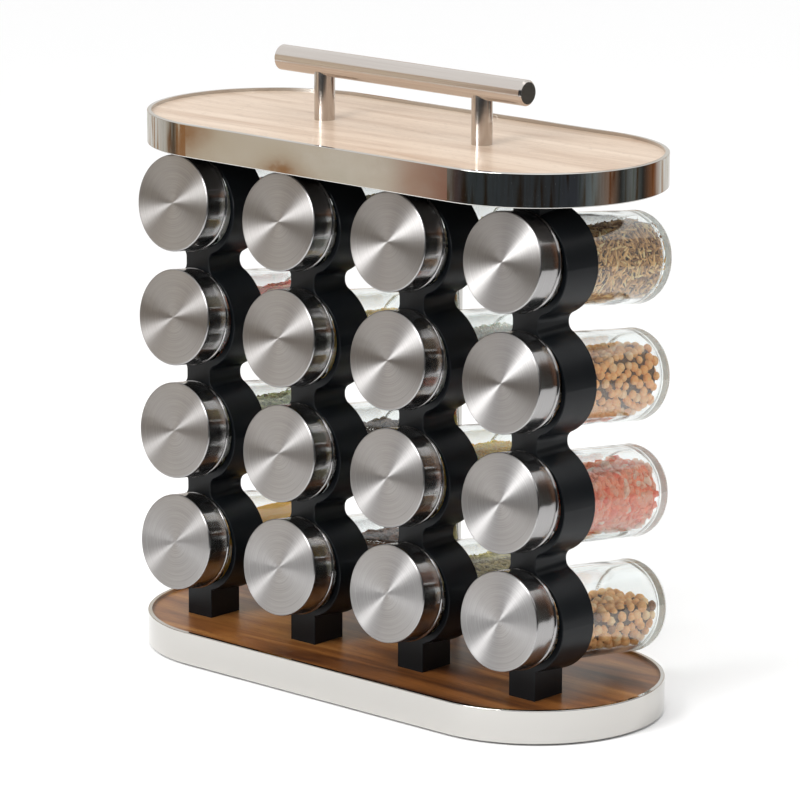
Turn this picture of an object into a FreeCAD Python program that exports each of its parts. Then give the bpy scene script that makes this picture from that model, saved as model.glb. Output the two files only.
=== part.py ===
import FreeCAD, Part
import Sketcher
import math
import os

# Countertop spice carousel: sixteen glass jars lie in four black ring columns between a
# base and a top plate, each a wooden panel in a polished steel band. A bar handle carries
# it and a low ball swivel under the base lets it turn.
#
# Frame: +Z up, X along the row of columns, the jar lids face -Y. The origin is on the
# table, at the centre of the plates. Millimetres.

os.makedirs("parts", exist_ok=True)
doc = FreeCAD.newDocument("spice_carousel")

COLUMNS = 4
ROWS = 4
BALLS = 16

SIZES = [
    # plates
    ("base_margin", 41.2, "from an outer column's centre to the end of the base band"),
    ("top_margin", 39.2, "from an outer column's centre to the end of the top band"),
    ("base_width", 122.7, "front to back over the base band"),
    ("top_width", 121.0, "front to back over the top band"),
    ("band_height", 15.6, "height of each steel band"),
    ("band_wall", 0.8, "sheet thickness of the bands"),
    ("rim_width", 2.0, "width of the hem along a band's edges"),
    ("rim_height", 1.5, "how far the hem stands above the wood"),
    ("hem_height", 1.0, "thickness of the hem under the backing board"),
    ("hem_round", 0.45, "rounding of the band's outer edges"),
    ("inlay_thickness", 5.0, "wooden inlay"),
    ("board_gap", 0.1, "between a board and its band, all round"),
    # jars
    ("jar_radius", 21.55, "outer radius of the glass body"),
    ("jar_wall", 2.2, "glass wall"),
    ("jar_floor", 5.0, "thick glass at the closed end"),
    ("jar_length", 94.4, "glass, mouth to closed end"),
    ("jar_heel", 2.2, "bevel round the closed end"),
    ("neck_radius", 18.9, "outer radius of the neck"),
    ("neck_length", 12.4, "neck, mouth to shoulder"),
    ("shoulder_length", 3.0, "shoulder along the jar"),
    ("jar_tilt", 7.0, "how far the closed end hangs down, degrees"),
    # lids
    ("lid_depth", 13.5, "lid, face to back edge"),
    ("lid_overhang", 1.35, "lid radius beyond the glass body"),
    ("lid_bead", 0.4, "how far the back bead stands out"),
    ("lid_bead_length", 1.2, "length of the back bead"),
    ("lid_top", 1.2, "thickness of the lid's face and liner"),
    ("lid_edge", 0.7, "bevel round the face"),
    ("lid_seal_gap", 0.4, "between the liner and the mouth"),
    ("thread_gap", 0.4, "between the neck and the inside of the lid"),
    ("lid_stop_gap", 0.3, "between the lid and the front of its ring"),
    # columns
    ("column_depth", 19.3, "front to back"),
    ("column_setback", 21.55, "column centre in front of the plate's centre line"),
    ("column_taper", 1.8, "how far the rings and waists narrow towards the front, each side"),
    ("bore_clearance", 0.35, "between a jar and its bore"),
    ("ring_wall", 4.08, "plastic outside a bore, at the back of a ring"),
    ("ring_gap", 3.1, "between neighbouring rings of a column"),
    ("column_gap", 16.2, "between the rings of neighbouring columns"),
    ("web_width", 18.6, "waist between two rings, at the back"),
    ("web_fillet", 4.5, "hollow where a waist meets a ring"),
    ("foot_width", 15.6, "block at each end of a column"),
    ("foot_height", 10.7, "from the wood to the lowest ring"),
    ("head_height", 4.4, "from the highest ring to the top's backing board"),
    ("column_edge", 0.4, "rounding round the column's front"),
    # handle
    ("bar_radius", 6.0, "handle bar"),
    ("bar_length", 152.5, "handle bar"),
    ("bar_height", 26.65, "bar's centre above the top inlay"),
    ("bar_bevel", 0.9, "bevel at each end of the bar"),
    ("post_radius", 4.9, "handle posts"),
    ("post_spacing", 97.6, "between the centres of the posts"),
    # swivel
    ("table_gap", 1.0, "under the base band"),
    ("pad_thickness", 1.2, "rubber disc on the table"),
    ("swivel_radius", 48.0, "lower swivel plate and its pad"),
    ("race_radius", 24.0, "centre line of the ball race"),
    ("plate_thickness", 1.2, "both swivel plates"),
    ("ball_radius", 2.1, "bearing balls"),
    ("ball_clearance", 0.15, "above and below the balls"),
    ("plate_margin", 6.0, "upper swivel plate beyond the race"),
    ("swivel_clearance", 1.0, "over the lower plate"),
    ("recess_margin", 2.0, "round both swivel plates"),
    ("pin_radius", 5.0, "swivel pin"),
    ("pin_clearance", 0.1, "round the pin"),
    ("pin_head", 3.0, "how far the pin's head stands out"),
    ("pin_head_height", 1.2, "thickness of the pin's head"),
    # screws
    ("screw_radius", 1.75, "shank"),
    ("screw_head_radius", 3.4, "head"),
    ("screw_head_height", 2.0, "head"),
    ("screw_pair", 9.0, "between the two screws at each column's end"),
    ("screw_hole_gap", 0.1, "round a screw in the boards"),
    ("screw_bite", 6.0, "screw length in a column or in wood"),
    ("post_bite", 12.0, "screw length in a handle post"),
    ("swivel_screws_radius", 12.5, "bolt circle radius of the upper swivel plate"),
]

sizes = doc.addObject("Spreadsheet::Sheet", "Sizes")
for row, (alias, value, note) in enumerate(SIZES, start=1):
    sizes.set("A%d" % row, alias)
    sizes.set("B%d" % row, str(value))
    sizes.set("C%d" % row, note)
    sizes.setAlias("B%d" % row, alias)
doc.recompute()


def size(text):
    """Spell out an expression: every sheet alias in it becomes Sizes.alias."""
    words = {alias for alias, value, note in SIZES}
    out, word = "", ""
    for letter in text + " ":
        if letter.isalnum() or letter in "_.":
            word += letter
            continue
        out += ("Sizes." + word if word in words else word) + letter
        word = ""
    return out.strip()


def value(text):
    """The number that an expression gives with the sheet's present sizes."""
    return float(sizes.evalExpression(size(text)))


# Lengths worked out from the driving sizes.
COS = "cos(jar_tilt * 1 deg)"
SIN = "sin(jar_tilt * 1 deg)"
LID_RADIUS = "(jar_radius + lid_overhang)"
BEAD_RADIUS = "(jar_radius + lid_overhang + lid_bead)"
BORE_RADIUS = "(jar_radius + bore_clearance)"
RING_RADIUS = "(%s + ring_wall)" % BORE_RADIUS
ROW_PITCH = "(2 * %s + ring_gap)" % RING_RADIUS
COLUMN_PITCH = "(2 * %s + column_gap)" % RING_RADIUS
BASE_LENGTH = "(%d * %s + 2 * base_margin)" % (COLUMNS - 1, COLUMN_PITCH)
TOP_LENGTH = "(%d * %s + 2 * top_margin)" % (COLUMNS - 1, COLUMN_PITCH)
BOARD_HEIGHT = "(band_height - hem_height - rim_height - inlay_thickness)"
BASE_WOOD = "(table_gap + band_height - rim_height)"
COLUMN_HEIGHT = "(foot_height + head_height + %d * %s + 2 * %s)" % (ROWS - 1, ROW_PITCH, RING_RADIUS)
FIRST_RING = "(foot_height + %s)" % RING_RADIUS
TOP_LEVEL = "(%s + %s - hem_height)" % (BASE_WOOD, COLUMN_HEIGHT)
TOP_WOOD = "(%s + band_height - rim_height)" % TOP_LEVEL
# along the jar, from the lid's face to the middle of the ring: the lid's upper back edge
# just clears the front of the column
JAR_REACH = ("((lid_depth * %s + %s * %s + lid_stop_gap + column_depth / 2) / %s)"
             % (COS, BEAD_RADIUS, SIN, COS))
MOUTH = "(lid_top + lid_seal_gap)"
LOWER_PLATE_TOP = "(pad_thickness + plate_thickness)"
UPPER_PLATE = "(%s + 2 * ball_radius + 2 * ball_clearance)" % LOWER_PLATE_TOP
SCREW_SEAT = "(%s + swivel_clearance)" % LOWER_PLATE_TOP
BASE_BOARD = "(table_gap + hem_height)"
TOP_BOARD = "(%s + hem_height)" % TOP_LEVEL


def column_x(column):
    return "(%s * %s)" % (column - (COLUMNS - 1) / 2, COLUMN_PITCH)


def bind(thing, **expressions):
    for name, text in expressions.items():
        thing.setExpression(name, size(str(text)))
    return thing


def place(thing, x="0", y="0", z="0"):
    thing.setExpression("Placement.Base.x", size(x))
    thing.setExpression("Placement.Base.y", size(y))
    thing.setExpression("Placement.Base.z", size(z))
    return thing


def label(thing, name):
    thing.Label = name
    nodes.append(thing)
    return thing


nodes = []


# ---- building blocks -------------------------------------------------------------

def cylinder(name, radius, height, x="0", y="0", z="0"):
    made = doc.addObject("Part::Cylinder", name)
    return place(bind(made, Radius=radius, Height=height), x, y, z)


def slot_solid(name, length, width, height, z):
    """A flat solid with straight sides and round ends, centred on the Z axis."""
    half = "(%s - %s) / 2" % (length, width)
    middle = doc.addObject("Part::Box", name + "_middle")
    bind(middle, Length="%s - %s" % (length, width), Width=width, Height=height)
    place(middle, "-%s" % half, "-%s / 2" % width, z)
    ends = [cylinder("%s_end_%d" % (name, side), "%s / 2" % width, height,
                     "%d * %s" % (side, half), "0", z) for side in (-1, 1)]
    return fuse(name, [middle] + ends)


def fuse(name, things):
    made = doc.addObject("Part::MultiFuse", name)
    made.Shapes = things
    made.Refine = True
    return made


def cut(name, base, tools):
    made = doc.addObject("Part::Cut", name)
    made.Base = base
    made.Tool = tools[0] if len(tools) == 1 else fuse(name + "_holes", tools)
    return made


def group(name, things):
    made = doc.addObject("Part::Compound", name)
    made.Links = things
    return made


def body(name):
    return doc.addObject("PartDesign::Body", name)


def sketch(owner, name, role):
    """A sketch on one of the body's own origin planes."""
    plane = [item for item in owner.Origin.OriginFeatures if item.Role == role][0]
    made = owner.newObject("Sketcher::SketchObject", name)
    made.AttachmentSupport = [(plane, "")]
    made.MapMode = "FlatFace"
    return made


def tie(made, kind, line, text):
    """Tie the start of a line to a sketch axis, or hold it at a distance from the origin."""
    number = value(text)
    if abs(number) < 1e-9:
        axis = -2 if kind == "DistanceX" else -1
        made.addConstraint(Sketcher.Constraint("PointOnObject", line, 1, axis))
        return
    made.addConstraint(Sketcher.Constraint(kind, -1, 1, line, 1, number))
    made.setExpression("Constraints[%d]" % (made.ConstraintCount - 1), size(text))


def outline(made, points):
    """Draw a closed outline of straight lines through points given as expressions."""
    corners = [FreeCAD.Vector(value(x), value(y), 0) for x, y in points]
    for start, end in zip(corners, corners[1:] + corners[:1]):
        made.addGeometry(Part.LineSegment(start, end), False)
    count = len(points)
    for line in range(count):
        made.addConstraint(Sketcher.Constraint("Coincident", line, 2, (line + 1) % count, 1))
    for line, (x, y) in enumerate(points):
        tie(made, "DistanceX", line, x)
        tie(made, "DistanceY", line, y)


def circle(made, radius, y="0"):
    """Draw a circle on the sketch's upright axis."""
    centre = FreeCAD.Vector(0, value(y), 0)
    made.addGeometry(Part.Circle(centre, FreeCAD.Vector(0, 0, 1), value(radius)), False)
    made.addConstraint(Sketcher.Constraint("Radius", 0, value(radius)))
    made.setExpression("Constraints[0]", size(radius))
    if abs(value(y)) < 1e-9:
        made.addConstraint(Sketcher.Constraint("Coincident", 0, 3, -1, 1))
        return
    made.addConstraint(Sketcher.Constraint("PointOnObject", 0, 3, -2))
    made.addConstraint(Sketcher.Constraint("DistanceY", -1, 1, 0, 3, value(y)))
    made.setExpression("Constraints[2]", size(y))


def turned(name, points, axis="V_Axis"):
    """A body turned from one outline about an axis of its sketch."""
    owner = body(name)
    drawing = sketch(owner, name + "_outline", "XY_Plane")
    outline(drawing, points)
    turn = owner.newObject("PartDesign::Revolution", name + "_turn")
    turn.Profile = drawing
    turn.ReferenceAxis = (drawing, [axis])
    turn.Angle = 360
    return owner


def rounded(owner, name, base, chosen, radius):
    """Round the edges of the body's last feature that a test picks out."""
    doc.recompute()
    picked = ["Edge%d" % (number + 1) for number, edge in enumerate(base.Shape.Edges)
              if chosen(edge)]
    if not picked:
        raise RuntimeError("no edges for " + name)
    made = owner.newObject("PartDesign::Fillet", name)
    made.Base = (base, picked)
    bind(made, Radius=radius)
    return made


def middle(edge):
    return edge.valueAt((edge.FirstParameter + edge.LastParameter) / 2)


# ---- plates ----------------------------------------------------------------------

def slot_sketch(owner, name, length, width):
    """A slot outline: two straight sides and two half circles."""
    made = sketch(owner, name, "XY_Plane")
    half = value("(%s - %s) / 2" % (length, width))
    radius = value("%s / 2" % width)
    up = FreeCAD.Vector(0, 0, 1)
    right = Part.Circle(FreeCAD.Vector(half, 0, 0), up, radius)
    left = Part.Circle(FreeCAD.Vector(-half, 0, 0), up, radius)
    made.addGeometry(Part.ArcOfCircle(right, -math.pi / 2, math.pi / 2), False)
    made.addGeometry(Part.LineSegment(FreeCAD.Vector(half, radius, 0),
                                      FreeCAD.Vector(-half, radius, 0)), False)
    made.addGeometry(Part.ArcOfCircle(left, math.pi / 2, math.pi * 3 / 2), False)
    made.addGeometry(Part.LineSegment(FreeCAD.Vector(-half, -radius, 0),
                                      FreeCAD.Vector(half, -radius, 0)), False)
    joins = ((0, 2, 1, 1), (1, 2, 2, 1), (2, 2, 3, 1), (3, 2, 0, 1))
    for join in joins:
        made.addConstraint(Sketcher.Constraint("Tangent", *join))
    made.addConstraint(Sketcher.Constraint("Equal", 0, 2))
    made.addConstraint(Sketcher.Constraint("PointOnObject", 0, 3, -1))
    made.addConstraint(Sketcher.Constraint("PointOnObject", 2, 3, -1))
    made.addConstraint(Sketcher.Constraint("Radius", 0, radius))
    made.setExpression("Constraints[%d]" % (made.ConstraintCount - 1), size("%s / 2" % width))
    made.addConstraint(Sketcher.Constraint("DistanceX", -1, 1, 0, 3, half))
    made.setExpression("Constraints[%d]" % (made.ConstraintCount - 1),
                       size("(%s - %s) / 2" % (length, width)))
    made.addConstraint(Sketcher.Constraint("DistanceX", 2, 3, -1, 1, half))
    made.setExpression("Constraints[%d]" % (made.ConstraintCount - 1),
                       size("(%s - %s) / 2" % (length, width)))
    return made


def band(name, length, width, level):
    """A hemmed steel band: a solid slot, cut out so that a wall and two hems are left."""
    owner = body(name)
    outer = owner.newObject("PartDesign::Pad", name + "_outside")
    outer.Profile = slot_sketch(owner, name + "_outer", length, width)
    bind(outer, Length="band_height")
    hem = "rim_width"
    opening = owner.newObject("PartDesign::Pocket", name + "_opening")
    opening.Profile = slot_sketch(owner, name + "_inner", "(%s - 2 * %s)" % (length, hem),
                                  "(%s - 2 * %s)" % (width, hem))
    opening.Type = "ThroughAll"
    opening.Reversed = True
    channel = owner.newObject("PartDesign::Pocket", name + "_channel")
    drawing = slot_sketch(owner, name + "_wall", "(%s - 2 * band_wall)" % length,
                          "(%s - 2 * band_wall)" % width)
    drawing.setExpression("AttachmentOffset.Base.z", size("hem_height"))
    channel.Profile = drawing
    channel.Reversed = True
    bind(channel, Length="band_height - hem_height - rim_height")
    limit = value(width) / 2 - 1e-3

    def outside(edge):
        box = edge.BoundBox
        end = min(abs(box.ZMin), abs(box.ZMin - value("band_height"))) < 1e-6
        return end and box.ZLength < 1e-6 and max(abs(box.YMax), abs(box.YMin)) > limit

    rounded(owner, name + "_edges", channel, outside, "hem_round")
    place(owner, z=level)
    return label(owner, name)


def board_size(length):
    return "(%s - 2 * band_wall - 2 * board_gap)" % length


def screw_spots():
    """Both screws at every column, as expressions."""
    spots = []
    for column in range(COLUMNS):
        for side in (-1, 1):
            spots.append((column_x(column), "-column_setback + %d * screw_pair / 2" % side))
    return spots


def post_spots():
    return [("%d * post_spacing / 2" % side, "0") for side in (-1, 1)]


def plates():
    hole = "screw_radius + screw_hole_gap"
    seat = "screw_head_radius + screw_hole_gap"
    plate_recess = "(race_radius + plate_margin + recess_margin)"

    band("base_band", BASE_LENGTH, "base_width", "table_gap")
    board = slot_solid("base_board_blank", board_size(BASE_LENGTH), board_size("base_width"),
                       BOARD_HEIGHT, BASE_BOARD)
    tools = [
        cylinder("swivel_recess", "swivel_radius + recess_margin",
                 "%s - %s" % (SCREW_SEAT, BASE_BOARD), z=BASE_BOARD),
        cylinder("race_recess", plate_recess,
                 "%s + plate_thickness - %s" % (UPPER_PLATE, BASE_BOARD), z=BASE_BOARD),
        cylinder("pin_recess", "pin_radius + pin_head + recess_margin",
                 "table_gap + hem_height + %s" % BOARD_HEIGHT),
    ]
    for number, (x, y) in enumerate(screw_spots()):
        tools.append(cylinder("base_seat_%d" % number, seat,
                              "%s + screw_head_height" % SCREW_SEAT, x, y))
        tools.append(cylinder("base_hole_%d" % number, hole, BASE_WOOD, x, y))
    for number, (x, y) in enumerate(swivel_spots()):
        tools.append(cylinder("swivel_hole_%d" % number, hole, BASE_WOOD, x, y))
    label(cut("base_board_body", board, tools), "base_board")

    inlay = slot_solid("base_inlay_blank", board_size(BASE_LENGTH), board_size("base_width"),
                       "inlay_thickness", "%s - inlay_thickness" % BASE_WOOD)
    tools = [cylinder("base_inlay_hole_%d" % number, hole, BASE_WOOD, x, y)
             for number, (x, y) in enumerate(screw_spots())]
    label(cut("base_inlay_body", inlay, tools), "base_inlay")

    band("top_band", TOP_LENGTH, "top_width", TOP_LEVEL)
    board = slot_solid("top_board_blank", board_size(TOP_LENGTH), board_size("top_width"),
                       BOARD_HEIGHT, TOP_BOARD)
    tools = []
    for number, (x, y) in enumerate(screw_spots()):
        tools.append(cylinder("top_seat_%d" % number, seat, "screw_head_height", x, y,
                              "%s + %s - screw_head_height" % (TOP_BOARD, BOARD_HEIGHT)))
        tools.append(cylinder("top_hole_%d" % number, hole, BOARD_HEIGHT, x, y, TOP_BOARD))
    for number, (x, y) in enumerate(post_spots()):
        tools.append(cylinder("post_seat_%d" % number, seat, "screw_head_height", x, y,
                              TOP_BOARD))
        tools.append(cylinder("post_hole_%d" % number, hole, BOARD_HEIGHT, x, y, TOP_BOARD))
    label(cut("top_board_body", board, tools), "top_board")

    inlay = slot_solid("top_inlay_blank", board_size(TOP_LENGTH), board_size("top_width"),
                       "inlay_thickness", "%s - inlay_thickness" % TOP_WOOD)
    tools = [cylinder("top_inlay_hole_%d" % number, hole, "inlay_thickness", x, y,
                      "%s - inlay_thickness" % TOP_WOOD)
             for number, (x, y) in enumerate(post_spots())]
    label(cut("top_inlay_body", inlay, tools), "top_inlay")


# ---- columns ---------------------------------------------------------------------

def column(number):
    """One plastic column: straight foot and head, four rings and waists that narrow forwards."""
    name = "column_%d" % (number + 1)
    owner = body(name + "_moulding")
    last_ring = "(%s + %d * %s)" % (FIRST_RING, ROWS - 1, ROW_PITCH)
    web, foot = "web_width / 2", "foot_width / 2"

    waist = sketch(owner, name + "_waist", "XZ_Plane")
    waist.setExpression("AttachmentOffset.Base.z", size("-column_depth / 2"))
    outline(waist, [(web, FIRST_RING), (web, last_ring), ("-" + web, last_ring),
                    ("-" + web, FIRST_RING)])
    pad = owner.newObject("PartDesign::Pad", name + "_waist_pad")
    pad.Profile = waist
    bind(pad, Length="column_depth", TaperAngle="-atan(column_taper / column_depth)")

    ring = sketch(owner, name + "_ring", "XY_Plane")
    ring.setExpression("AttachmentOffset.Base.z", size(FIRST_RING))
    outline(ring, [("0", "-column_depth / 2"), (RING_RADIUS + " - column_taper", "-column_depth / 2"),
                   (RING_RADIUS, "column_depth / 2"), ("0", "column_depth / 2")])
    turn = owner.newObject("PartDesign::Revolution", name + "_ring_turn")
    turn.Profile = ring
    turn.ReferenceAxis = (ring, ["V_Axis"])
    turn.Angle = 360
    rings = repeat(owner, name + "_rings", turn, waist)

    # the largest hollow that still leaves a flat between the two rings
    half_gap = "(%s + ring_gap / 2 - 0.1)" % RING_RADIUS
    web_limit = "min(web_fillet; (%s ^ 2 / (%s - %s) - %s - %s) / 2)" % (
        half_gap, RING_RADIUS, web, RING_RADIUS, web)
    low, high = value(FIRST_RING), value(last_ring)

    def waist_edge(edge):
        spot = middle(edge)
        along = edge.BoundBox.YLength > 0.9 * value("column_depth")
        return along and low < spot.z < high and abs(spot.x) < value(web) + 0.1

    rounded(owner, name + "_webs", rings, waist_edge, web_limit)

    for end, near, far in (("foot", "0", FIRST_RING), ("head", last_ring, COLUMN_HEIGHT)):
        block = sketch(owner, "%s_%s" % (name, end), "XZ_Plane")
        outline(block, [(foot, near), (foot, far), ("-" + foot, far), ("-" + foot, near)])
        pad = owner.newObject("PartDesign::Pad", "%s_%s_pad" % (name, end))
        pad.Profile = block
        pad.SideType = "Symmetric"
        bind(pad, Length="column_depth")

    def front_edge(edge):
        flat = edge.BoundBox.YLength < 1e-6 and middle(edge).y < 0
        return flat and 0.1 < middle(edge).z < value(COLUMN_HEIGHT) - 0.1

    front = rounded(owner, name + "_front", pad, front_edge, "column_edge")
    place(owner, column_x(number), "-column_setback", BASE_WOOD)

    tools = [bore(name, number, row) for row in range(ROWS)]
    for side in (-1, 1):
        y = "-column_setback + %d * screw_pair / 2" % side
        tools.append(cylinder("%s_pilot_low_%d" % (name, side), "screw_radius", "screw_bite",
                              column_x(number), y, BASE_WOOD))
        tools.append(cylinder("%s_pilot_high_%d" % (name, side), "screw_radius", "screw_bite",
                              column_x(number), y, "%s + hem_height - screw_bite" % TOP_LEVEL))
    drilled = label(cut(name + "_drilled", owner, tools), name)
    doc.recompute()
    bores = ROWS * math.pi * value(BORE_RADIUS) ** 2 * value("column_depth")
    if drilled.Shape.Volume > front.Shape.Volume - 0.9 * bores:
        raise RuntimeError("the bores of " + name + " cut too little")


def bore(name, column, row):
    """The tool for a bore: a cylinder on the tilted jar's axis, twice as long as the ring."""
    ring = "%s + %s + %d * %s" % (BASE_WOOD, FIRST_RING, row, ROW_PITCH)
    made = cylinder("%s_bore_%d" % (name, row), BORE_RADIUS, "2 * column_depth",
                    column_x(column), "-column_setback - column_depth * %s" % COS,
                    "%s + column_depth * %s" % (ring, SIN))
    turn = FreeCAD.Rotation(FreeCAD.Vector(-1, 0, 0), 1)
    made.Placement = FreeCAD.Placement(made.Placement.Base, turn)
    made.setExpression("Placement.Rotation.Angle", size("(90 + jar_tilt) * 1 deg"))
    return made


def repeat(owner, name, feature, drawing):
    """Repeat a feature up the column, once for each row."""
    made = owner.newObject("PartDesign::LinearPattern", name)
    made.Originals = [feature]
    made.Direction = (drawing, ["V_Axis"])
    made.Occurrences = ROWS
    bind(made, Length="%d * %s" % (ROWS - 1, ROW_PITCH))
    owner.Tip = made
    return made


# ---- jars and lids ---------------------------------------------------------------

def jar_frame(thing, column, row):
    """Put a part whose +Y is the jar's axis at the centre of its lid's face."""
    ring = "%s + %s + %d * %s" % (BASE_WOOD, FIRST_RING, row, ROW_PITCH)
    place(thing, column_x(column), "-column_setback - %s * %s" % (JAR_REACH, COS),
          "%s + %s * %s" % (ring, JAR_REACH, SIN))
    base = thing.Placement.Base
    thing.Placement = FreeCAD.Placement(base, FreeCAD.Rotation(FreeCAD.Vector(-1, 0, 0), 1))
    thing.setExpression("Placement.Rotation.Angle", size("jar_tilt * 1 deg"))


def jar_name(kind, column, row):
    return "%s_row%d_column%d" % (kind, ROWS - row, column + 1)


def jar(column, row):
    """Glass jar: neck, shoulder, straight body, thick closed end."""
    shoulder = "(%s + neck_length)" % MOUTH
    end = "(%s + jar_length)" % MOUTH
    inside = "(jar_radius - jar_wall)"
    throat = "(neck_radius - jar_wall)"
    name = jar_name("jar", column, row)
    thing = turned(name, [
        (throat, MOUTH),
        ("neck_radius", MOUTH),
        ("neck_radius", shoulder),
        ("jar_radius", "%s + shoulder_length" % shoulder),
        ("jar_radius", "%s - jar_heel" % end),
        ("jar_radius - jar_heel", end),
        ("0", end),
        ("0", "%s - jar_floor" % end),
        (inside + " - jar_heel", "%s - jar_floor" % end),
        (inside, "%s - jar_floor - jar_heel" % end),
        (inside, "%s + shoulder_length" % shoulder),
        (throat, shoulder),
    ])
    jar_frame(thing, column, row)
    label(thing, name)


def lid(column, row):
    """Steel lid over its moulded core, with a bead round its back edge."""
    inside = "(neck_radius + thread_gap)"
    name = jar_name("lid", column, row)
    thing = turned(name, [
        ("0", "0"),
        (LID_RADIUS + " - lid_edge", "0"),
        (LID_RADIUS, "lid_edge"),
        (LID_RADIUS, "lid_depth - lid_bead_length"),
        (BEAD_RADIUS, "lid_depth - lid_bead_length + lid_bead"),
        (BEAD_RADIUS, "lid_depth"),
        (inside, "lid_depth"),
        (inside, "lid_top"),
        ("0", "lid_top"),
    ])
    jar_frame(thing, column, row)
    label(thing, name)


# ---- handle ----------------------------------------------------------------------

def handle():
    bar_level = "(%s + bar_height)" % TOP_WOOD
    bar = turned("handle_bar", [
        ("-bar_length / 2", "0"),
        ("-bar_length / 2", "bar_radius - bar_bevel"),
        ("-bar_length / 2 + bar_bevel", "bar_radius"),
        ("bar_length / 2 - bar_bevel", "bar_radius"),
        ("bar_length / 2", "bar_radius - bar_bevel"),
        ("bar_length / 2", "0"),
    ], "H_Axis")
    place(bar, z=bar_level)
    label(bar, "handle_bar")
    for side, name in ((-1, "handle_post_left"), (1, "handle_post_right")):
        x = "%d * post_spacing / 2" % side
        post = cylinder(name + "_blank", "post_radius", "bar_height", x, "0", TOP_WOOD)
        saddle = cylinder(name + "_saddle", "bar_radius", "4 * post_radius",
                          "%s - 2 * post_radius" % x, "0", bar_level)
        saddle.Placement.Rotation = FreeCAD.Rotation(FreeCAD.Vector(0, 1, 0), 90)
        pilot = cylinder(name + "_pilot", "screw_radius", "post_bite", x, "0", TOP_WOOD)
        label(cut(name + "_body", post, [saddle, pilot]), name)


# ---- swivel ----------------------------------------------------------------------

def swivel_spots():
    return [("swivel_screws_radius * cos(%d deg)" % angle,
             "swivel_screws_radius * sin(%d deg)" % angle) for angle in (45, 135, 225, 315)]


def swivel():
    pad = cylinder("swivel_pad_body", "swivel_radius", "pad_thickness")
    label(pad, "swivel_pad")
    plate = cylinder("lower_plate_blank", "swivel_radius", "plate_thickness",
                     z="pad_thickness")
    hole = cylinder("lower_plate_hole", "pin_radius", "plate_thickness", z="pad_thickness")
    label(cut("lower_plate_body", plate, [hole]), "swivel_lower_plate")

    plate = cylinder("upper_plate_blank", "race_radius + plate_margin", "plate_thickness",
                     z=UPPER_PLATE)
    holes = [cylinder("upper_plate_hole", "pin_radius + pin_clearance", "plate_thickness",
                      z=UPPER_PLATE)]
    for number, (x, y) in enumerate(swivel_spots()):
        holes.append(cylinder("upper_plate_hole_%d" % number, "screw_radius",
                              "plate_thickness", x, y, UPPER_PLATE))
    label(cut("upper_plate_body", plate, holes), "swivel_upper_plate")

    balls = []
    for number in range(BALLS):
        ball = doc.addObject("Part::Sphere", "ball_%d" % number)
        bind(ball, Radius="ball_radius")
        angle = 360 / BALLS * number
        place(ball, "race_radius * cos(%s deg)" % angle, "race_radius * sin(%s deg)" % angle,
              "%s + ball_clearance + ball_radius" % LOWER_PLATE_TOP)
        balls.append(ball)
    label(group("swivel_balls_group", balls), "swivel_balls")

    shank = "%s + plate_thickness + ball_clearance - pad_thickness" % UPPER_PLATE
    pin = cylinder("pin_shank", "pin_radius", shank, z="pad_thickness")
    head = cylinder("pin_head_disc", "pin_radius + pin_head", "pin_head_height",
                    z="%s + plate_thickness + ball_clearance" % UPPER_PLATE)
    label(fuse("swivel_pin_body", [pin, head]), "swivel_pin")


# ---- screws ----------------------------------------------------------------------

def screw(name, x, y, seat, length, pointing):
    """A screw whose head rests on its seat and whose shank points up (1) or down (-1)."""
    low = "%s - screw_head_height" % seat if pointing > 0 else seat
    head = cylinder(name + "_head", "screw_head_radius", "screw_head_height", x, y, low)
    start = seat if pointing > 0 else "%s - (%s)" % (seat, length)
    shank = cylinder(name + "_shank", "screw_radius", length, x, y, start)
    return fuse(name, [head, shank])


def screws():
    seat = "(%s + screw_head_height)" % SCREW_SEAT
    length = "%s - %s + screw_bite" % (BASE_WOOD, seat)
    made = [screw("base_screw_%d" % number, x, y, seat, length, 1)
            for number, (x, y) in enumerate(screw_spots())]
    label(group("base_screws_group", made), "base_screws")

    seat = "(%s + %s - screw_head_height)" % (TOP_BOARD, BOARD_HEIGHT)
    length = "%s - %s + screw_bite" % (seat, TOP_BOARD)
    made = [screw("top_screw_%d" % number, x, y, seat, length, -1)
            for number, (x, y) in enumerate(screw_spots())]
    label(group("top_screws_group", made), "top_screws")

    seat = "(%s + screw_head_height)" % TOP_BOARD
    length = "%s - %s + post_bite" % (TOP_WOOD, seat)
    made = [screw("handle_screw_%d" % number, x, y, seat, length, 1)
            for number, (x, y) in enumerate(post_spots())]
    label(group("handle_screws_group", made), "handle_screws")

    thin = "(1.2 * plate_thickness)"
    made = []
    for number, (x, y) in enumerate(swivel_spots()):
        head = cylinder("swivel_screw_head_%d" % number, "1.6 * screw_radius", thin, x, y,
                        "%s - %s" % (UPPER_PLATE, thin))
        shank = cylinder("swivel_screw_shank_%d" % number, "screw_radius",
                         "%s + %s - %s" % (BASE_BOARD, BOARD_HEIGHT, UPPER_PLATE), x, y,
                         UPPER_PLATE)
        made.append(fuse("swivel_screw_%d" % number, [head, shank]))
    label(group("swivel_screws_group", made), "swivel_screws")


def write():
    doc.recompute()
    for thing in doc.Objects:
        if "Invalid" in thing.State or "Error" in thing.State:
            raise RuntimeError("%s is %s" % (thing.Name, thing.State))
    for thing in nodes:
        if thing.Shape.isNull() or not thing.Shape.isValid():
            raise RuntimeError("%s has no valid shape" % thing.Label)
    for thing in nodes:
        thing.Shape.exportStep("parts/%s.step" % thing.Label)
        print("%-24s %d solid(s) %10.1f mm3" % (thing.Label, len(thing.Shape.Solids),
                                                thing.Shape.Volume))


swivel()
plates()
for number in range(COLUMNS):
    column(number)
for row in range(ROWS):
    for number in range(COLUMNS):
        jar(number, row)
        lid(number, row)
handle()
screws()
write()
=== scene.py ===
import math

import bpy
import numpy as np
from mathutils import Matrix, Vector, noise


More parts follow.
